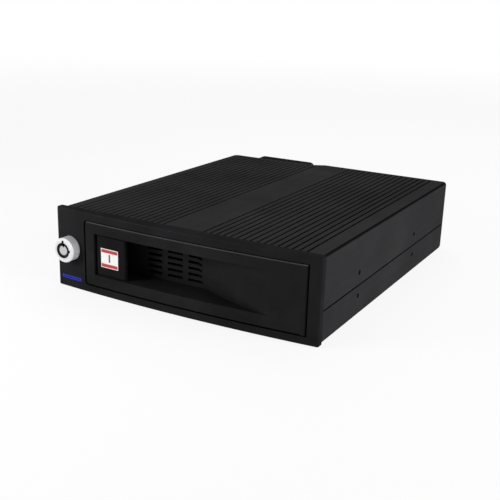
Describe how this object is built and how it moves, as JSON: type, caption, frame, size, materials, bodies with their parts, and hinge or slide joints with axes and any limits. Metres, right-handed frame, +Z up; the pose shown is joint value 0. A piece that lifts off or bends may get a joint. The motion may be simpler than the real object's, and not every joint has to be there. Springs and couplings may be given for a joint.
{
  "type": "hot swap drive cage",
  "caption": "Trayless hot swap cage for a 3.5 inch drive: ribbed metal housing, bowed front with a hinged door and finger recess, key lock, light bar and rear fan.",
  "frame": {"origin": "middle of the footprint, on the bay's floor plane under the bezel", "axes": "+X to the right seen from the front, +Y from the door to the rear, +Z up"},
  "size_m": [0.1484, 0.1944, 0.042],
  "materials": {
    "bezel_plastic": "satin black moulding",
    "door_plastic": "satin black moulding",
    "shell_top": "black anodised ribbed extrusion",
    "shell_bottom": "black anodised extrusion",
    "rear_sheet": "black powder coat",
    "zinc_steel": "zinc plated",
    "black_steel": "black oxide",
    "lock_chrome": "polished",
    "lock_brass": "machined",
    "light_blue": "clear blue light pipe",
    "board_green": "solder mask",
    "connector_black": "moulded",
    "connector_white": "moulded",
    "pin_metal": "tinned",
    "fan_plastic": "black moulding",
    "fan_core": "wound core"
  },
  "bodies": {
    "cage": {"front_bezel": "bezel_plastic", "bezel_screws": "black_steel", "top_shell": "shell_top", "bottom_shell": "shell_bottom", "rear_panel": "rear_sheet", "panel_screws": "black_steel", "hinge_pin": "zinc_steel", "lock_barrel": "lock_chrome", "lock_nut": "zinc_steel", "light_bar": "light_blue", "light_board": "board_green", "drive_rail_left": "zinc_steel", "drive_rail_right": "zinc_steel", "rail_screws": "zinc_steel", "backplane_board": "board_green", "board_spacers": "lock_brass", "board_bolts": "zinc_steel", "spacer_screws": "black_steel", "drive_plug": "connector_black", "data_port": "connector_black", "power_port": "connector_white", "power_pins": "pin_metal", "fan_frame": "fan_plastic", "fan_stator": "fan_core", "fan_screws": "black_steel"},
    "door": {"door_panel": "door_plastic"},
    "latch": {"grip_latch": "door_plastic"},
    "lock": {"lock_plug": "lock_chrome", "lock_cam": "zinc_steel", "cam_screw": "zinc_steel"},
    "ejector": {"ejector_bar": "zinc_steel"},
    "rotor": {"fan_rotor": "fan_plastic"}
  },
  "joints": [
    {"name": "door_hinge", "type": "hinge", "parent": "cage", "child": "door", "pos_m": [0.066, -0.08951, 0.0207], "axis": [0, 0, 1], "range_deg": [0, 95]},
    {"name": "latch_slide", "type": "slide", "parent": "door", "child": "latch", "axis": [1, 0, 0], "range_m": [0, 0.003], "stiffness_N_per_m": 200},
    {"name": "lock_turn", "type": "hinge", "parent": "cage", "child": "lock", "pos_m": [-0.0653, -0.08739, 0.0214], "axis": [0, 1, 0], "range_deg": [0, 90]},
    {"name": "ejector_slide", "type": "slide", "parent": "cage", "child": "ejector", "axis": [0, -1, 0], "range_m": [0, 0.01269]},
    {"name": "fan_spin", "type": "hinge", "parent": "cage", "child": "rotor", "pos_m": [-0.0379, 0.09051, 0.0207], "axis": [0, 1, 0], "continuous": true}
  ],
  "couplings": [
    {"joint": "ejector_slide", "follows": "door_hinge", "m_per_rad": 0.0076482}
  ]
}
